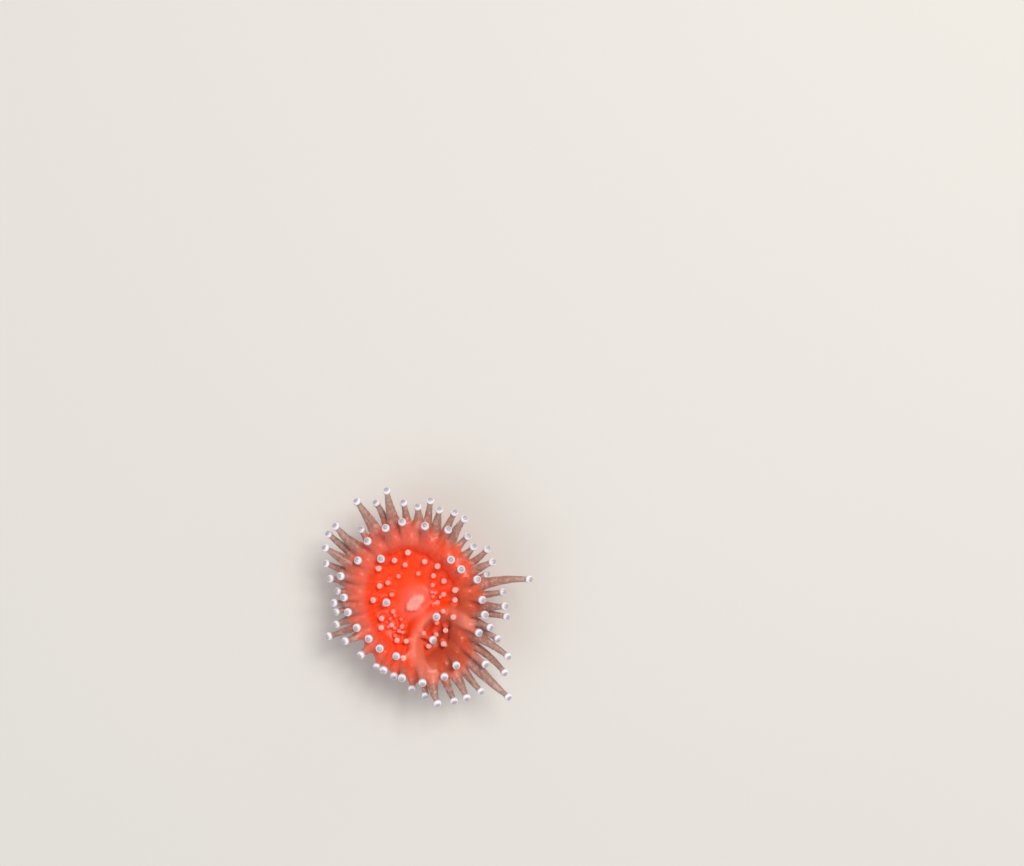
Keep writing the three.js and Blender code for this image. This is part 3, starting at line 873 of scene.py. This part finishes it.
def anemone_flesh(name, roughness, see_through=False, **finish):
    """Living flesh, wet and soft. One set of colours runs over every part, so that no border shows
    where one material takes over from another; only the finish differs."""
    material = bpy.data.materials.new(name)
    material.use_nodes = True
    tree = material.node_tree
    tree.nodes.clear()
    place = add(tree, "ShaderNodeTexCoord", out="Object")
    marks = {
        mark: add(tree, "ShaderNodeAttribute", {"attribute_name": mark}, out="Fac")
        for mark in ("climb", "feeler", "along", "knob", "crown", "small", "tint", "clear", "jelly",
                     "crease", "ridge", "basin", "mouth")
    }
    climb = marks["climb"]
    cloud = add(tree, NOISE, Vector=place, Scale=CLOUD_SCALE, Detail=3.0, Roughness=0.55)
    mottle = add(tree, NOISE, Vector=place, Scale=MOTTLE_SCALE, Detail=2.0, Roughness=0.5)
    grain = add(tree, NOISE, Vector=place, Scale=GRAIN_SCALE, Detail=2.0, Roughness=0.6)
    wart = add(tree, "ShaderNodeTexVoronoi", Vector=place, Scale=WART_SCALE, Randomness=0.9)

    # Fine radial lines, wavering with the cloud: one pair to each tentacle of the rim.
    east = add(tree, "ShaderNodeSeparateXYZ", out="X", Vector=place)
    north = add(tree, "ShaderNodeSeparateXYZ", out="Y", Vector=place)
    azimuth = add(tree, MATH, {"operation": "ARCTAN2"}, i0=north, i1=east)
    waver = add(tree, MATH, PRODUCT, i0=cloud, i1=WAVER)
    wave = add(tree, MATH, PRODUCT_SUM, i0=azimuth, i1=float(RIM_TENTACLES), i2=waver)
    wave = add(tree, MATH, {"operation": "SINE"}, i0=wave)
    on_rim = add(tree, RANGE, SMOOTH, Value=climb, From_Min=0.60, From_Max=0.68)
    off_middle = add(tree, RANGE, SMOOTH, Value=climb, From_Min=0.92, From_Max=0.74)
    streak = add(tree, MATH, PRODUCT, i0=wave, i1=add(tree, MATH, PRODUCT, i0=on_rim, i1=off_middle))
    on_column = add(tree, RANGE, SMOOTH, Value=climb, From_Min=0.64, From_Max=0.50)
    line = add(tree, MATH, PRODUCT, i0=wave, i1=on_column)

    # A slant across the disc for painted light and shade: on one side the lip is painted paler and pinker
    # as painted light, and on the other the dish is painted duller as painted shade.
    lean = add(tree, MATH, PRODUCT_SUM, i0=north, i1=-0.5, i2=east)
    slope = add(tree, MATH, PRODUCT, i0=add(tree, RANGE, SMOOTH, Value=climb, From_Min=0.92, From_Max=0.78),
                i1=add(tree, RANGE, SMOOTH, Value=climb, From_Min=0.60, From_Max=0.70))
    shaded_side = add(tree, RANGE, SMOOTH, Value=lean, From_Min=0.003, From_Max=0.008)
    painted_shade = add(tree, MATH, PRODUCT, i0=shaded_side, i1=slope)
    lip = add(tree, MATH, PRODUCT, i0=add(tree, RANGE, SMOOTH, Value=climb, From_Min=0.71, From_Max=0.66),
              i1=add(tree, RANGE, SMOOTH, Value=climb, From_Min=0.50, From_Max=0.62))
    lit_side = add(tree, RANGE, SMOOTH, Value=lean, From_Min=0.001, From_Max=-0.006)
    painted_light = add(tree, MATH, PRODUCT, i0=lit_side, i1=lip)

    flesh = layered(tree, "#b8452c", [
        # Dull red foot, then the salmon of column and lip.
        (climb, 0.00, 0.24, 1.0, "#c95233"),
        (climb, 0.24, 0.36, 1.0, "#d96647"),
        (climb, 0.36, 0.50, 1.0, "#dc725a"),
        (climb, 0.50, 0.58, 1.0, "#de6448"),
        # The disc's orange glow, strongest round the mouth.
        (climb, 0.57, 0.64, 1.0, "#e2522c"),
        (climb, 0.62, 0.71, 1.0, "#ec481c"),
        (climb, 0.70, 0.84, 1.0, "#f6460c"),
        (climb, 0.84, 1.00, 1.0, "#fc4406"),
        # Blotches, pale streaks on the rim and lines up the column.
        (cloud, 0.42, 0.66, 0.25, "#ff6040"),
        (streak, 0.0, 1.0, 0.15, "#f07c5a"),
        (line, 0.3, 1.0, 0.2, "#f0987c"),
        # Painted shade to one side and painted light, paler and pinker, on the lip to the other; painted
        # shade in the second basin and in the crease by the fold; pale on fold and mouth, with a painted
        # highlight on the mouth's top.
        (painted_shade, 0.0, 1.0, 0.7, "#b45a38"),
        (painted_light, 0.0, 1.0, 0.5, "#dc7866"),
        # Painted shade: the second basin darker.
        (marks["basin"], 0.0, 1.0, 0.85, "#b8411f"),
        (marks["ridge"], 0.1, 0.85, 0.75, "#e48069"),
        # Painted shade along the crease beside the fold.
        (marks["crease"], 0.0, 1.0, 0.6, "#c43212"),
        (marks["mouth"], 0.0, 1.0, 0.9, "#fc8e7e"),
        # Painted highlight: a whiter patch on the mouth cone's top.
        (marks["mouth"], 0.7, 1.0, 0.5, "#ffb0a6"),
    ])
    # Tentacles, pink at the root, then greyer and paler to the knob, mottled and specked.
    shaft = layered(tree, "#d06c56", [
        (marks["along"], 0.0, 0.3, 1.0, "#be705c"),
        (marks["along"], 0.3, 0.6, 1.0, "#b07464"),
        (marks["along"], 0.6, 1.0, 1.0, "#b0887a"),
        (marks["tint"], 0.0, 1.0, 0.3, "#a0807a"),
        (mottle, 0.50, 0.70, 0.50, "#e6bcac"),
        (mottle, 0.46, 0.30, 0.45, "#865c4e"),
        (wart, 0.34, 0.12, 0.5, "#dcc8c0"),
        (grain, 0.58, 0.68, 0.4, "#735850"),
    ])
    # Knobs: lilac-grey below, then a painted highlight, a white ring round a greyer crown, and rosy on the
    # disc's small tentacles, where the ring is painted too.
    pearl = layered(tree, "#b3aab0", [
        # Painted highlight: a white ring round a greyer crown.
        (marks["crown"], 0.05, 0.45, 1.0, "#c4bcc2"),
        (marks["crown"], 0.45, 0.68, 1.0, "#f3eef3"),
        (marks["crown"], 0.80, 0.95, 1.0, "#a59ea6"),
        (grain, 0.35, 0.75, 0.4, "#e6dfe4"),
    ])
    rosy = layered(tree, "#f6a09a", [
        (grain, 0.4, 0.6, 0.5, "#ffbcb4"),
        (marks["tint"], 0.2, 1.0, 0.5, "#ffc8b6"),
        # Painted highlight: the same white ring and greyer crown on the small knobs.
        (marks["crown"], 0.45, 0.68, 0.6, "#ffdad6"),
        (marks["crown"], 0.80, 0.95, 0.8, "#f29c92"),
        (climb, 0.76, 0.84, 0.7, "#fb8878"),
    ])
    off_disc = add(tree, RANGE, SMOOTH, Value=marks["clear"], From_Min=0.05, From_Max=0.5)
    on_small = add(tree, MATH, PRODUCT, i0=marks["small"], i1=off_disc)
    colour = layered(tree, flesh, [
        (marks["jelly"], 0.0, 1.0, 1.0, shaft),
        (on_small, 0.0, 1.0, 1.0, "#f07058"),
        (marks["knob"], 0.0, 1.0, 1.0, layered(tree, pearl, [(marks["small"], 0.0, 1.0, 1.0, rosy)])),
    ])

    # Fine grain and warts raised a little, a wet sheen that varies with the cloud, and clear far ends.
    speck = add(tree, RANGE, SMOOTH, Value=wart, From_Min=0.34, From_Max=0.12)
    raised = add(tree, MATH, PRODUCT, i0=speck, i1=add(tree, MATH, PRODUCT, i0=marks["feeler"], i1=0.5))
    raised = add(tree, MATH, PRODUCT_SUM, i0=grain, i1=0.35, i2=raised)
    bump = add(tree, "ShaderNodeBump", Strength=0.35, Distance=0.00006, Height=raised)
    rough = add(tree, MATH, PRODUCT_SUM, i0=cloud, i1=0.16, i2=roughness - 0.08)
    alpha = 1.0
    if see_through:
        thin = add(tree, MATH, PRODUCT_SUM, i0=speck, i1=-0.12, i2=0.3)
        beyond = add(tree, RANGE, SMOOTH, Value=marks["clear"], From_Min=1.6, From_Max=4.0)
        lost = add(tree, MATH, PRODUCT, i0=beyond, i1=thin)
        alpha = add(tree, MATH, {"operation": "SUBTRACT"}, i0=1.0, i1=lost)
    shader = add(
        tree, "ShaderNodeBsdfPrincipled", {"subsurface_method": "RANDOM_WALK"},
        Base_Color=colour, Roughness=rough, Normal=bump, IOR=1.38, Alpha=alpha, **finish,
    )
    add(tree, "ShaderNodeOutputMaterial", Surface=shader)
    return material


# Muscular flesh of foot, column, disc and mouth: dense, saturated and lit from within.
body_flesh = anemone_flesh(
    "wet_body_flesh", 0.42, Subsurface_Weight=0.6, Subsurface_Scale=0.0007,
    Subsurface_Radius=(1.0, 0.35, 0.15), Specular_IOR_Level=0.3, Coat_Weight=0.08, Coat_Roughness=0.15,
)
# The tentacles' clear jelly: thin, watery and pinkish, with paler edges.
clear_jelly = anemone_flesh(
    "clear_tentacle_jelly", 0.38, see_through=True, Subsurface_Weight=0.3,
    Subsurface_Scale=0.0004, Subsurface_Radius=(1.0, 0.6, 0.5), Coat_Weight=0.12, Coat_Roughness=0.15,
    Sheen_Weight=0.3, Sheen_Roughness=0.4,
)
# The knobs, packed with stinging cells: pearly, with a bright edge.
pearly_knob = anemone_flesh(
    "pearly_knob_flesh", 0.25, Subsurface_Weight=0.5, Subsurface_Scale=0.0004,
    Subsurface_Radius=(1.0, 0.9, 0.95), Coat_Weight=0.4, Coat_Roughness=0.08,
    Sheen_Weight=1.0, Sheen_Roughness=0.28,
)


FLOOR_CLOUD_SCALE = 18.0  # repeats to a metre, about 56 mm across


def floor_paint():
    """Smooth matt paint, pale and warm, with the faintest unevenness. It pales far out, where the lamps
    don't reach, so that the floor runs on into the studio's grey."""
    material = bpy.data.materials.new("matt_floor_paint")
    material.use_nodes = True
    tree = material.node_tree
    tree.nodes.clear()
    place = add(tree, "ShaderNodeTexCoord", out="Object")
    cloud = add(tree, NOISE, Vector=place, Scale=FLOOR_CLOUD_SCALE, Detail=2.0)
    far = add(tree, "ShaderNodeVectorMath", {"operation": "LENGTH"}, out="Value", i0=place)
    colour = layered(tree, "#d8d5cf", [(cloud, 0.0, 1.0, 0.1, "#cfccc6"), (far, 0.15, 1.0, 1.0, "#f2f3f4")])
    shader = add(tree, "ShaderNodeBsdfPrincipled", Base_Color=colour, Roughness=0.85)
    add(tree, "ShaderNodeOutputMaterial", Surface=shader)
    return material


# ---- The piece ----

anemone = skin()
for material in (body_flesh, clear_jelly, pearly_knob):
    anemone.data.materials.append(material)
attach(anemone, "root")
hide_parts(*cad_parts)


# ---- Floor, light and camera ----

FLOOR_HALF = 4000 * MM
FLOOR_DROP = 0.02 * MM


def floor():
    """A wide flat floor, a hair below the foot so that the two don't share a level."""
    mesh = bpy.data.meshes.new("floor")
    corners = [(-1, -1), (1, -1), (1, 1), (-1, 1)]
    points = [(x * FLOOR_HALF, y * FLOOR_HALF, -FLOOR_DROP) for x, y in corners]
    mesh.from_pydata(points, [], [(0, 1, 2, 3)])
    mesh.materials.append(floor_paint())
    thing = bpy.data.objects.new("floor", mesh)
    bpy.context.scene.collection.objects.link(thing)


def lamp(name, place, target, size, power, colour):
    """A square soft lamp, in millimetres and watts."""
    data = bpy.data.lights.new(name, "AREA")
    data.shape = "SQUARE"
    data.size = size * MM
    data.energy = power
    data.color = linear(colour)[:3]
    thing = bpy.data.objects.new(name, data)
    place, target = np.array(place, float), np.array(target, float)
    thing.location = place * MM
    away = unit(place - target)
    side = unit(np.cross((0, 1, 0.02), away))
    up = np.cross(away, side)
    matrix = np.eye(4)
    matrix[:3, :3] = np.stack([side, up, away], axis=1)
    matrix[:3, 3] = place * MM
    thing.matrix_world = Matrix(matrix.tolist())
    bpy.context.scene.collection.objects.link(thing)


floor()
lamp("key_light", (250, 270, 640), (0, 0, 8), 280, 3.8, "#fffaf5")
lamp("fill_light", (-400, -280, 520), (0, 0, 8), 420, 1.0, "#f2f5ff")
world = bpy.data.worlds.new("studio")
world.use_nodes = True
world.node_tree.nodes["Background"].inputs["Color"].default_value = linear("#eef0f2")
world.node_tree.nodes["Background"].inputs["Strength"].default_value = 0.55
bpy.context.scene.world = world
bpy.context.scene.view_settings.view_transform = "Standard"

# The camera looks straight down and takes in far more than the animal, which stands off centre.
PIXEL = 0.15  # millimetres across a pixel at the rim's height
FRAME_WIDTH, FRAME_HEIGHT = 1024, 866
MOUTH_PIXEL = (415, 603)
DISC_LEVEL = 9.0
SENSOR = 36.0
FIELD_ANGLE = math.radians(40)

camera_data = bpy.data.cameras.new("camera")
camera_data.sensor_width = SENSOR
camera_data.lens = SENSOR / 2 / math.tan(FIELD_ANGLE / 2)
camera_data.clip_start = 0.01
camera_data.clip_end = 10
camera = bpy.data.objects.new("camera", camera_data)
camera.location = (
    (FRAME_WIDTH / 2 - MOUTH_PIXEL[0]) * PIXEL * MM,
    (MOUTH_PIXEL[1] - FRAME_HEIGHT / 2) * PIXEL * MM,
    (DISC_LEVEL + FRAME_WIDTH / 2 * PIXEL / math.tan(FIELD_ANGLE / 2)) * MM,
)
bpy.context.scene.collection.objects.link(camera)
bpy.context.scene.camera = camera
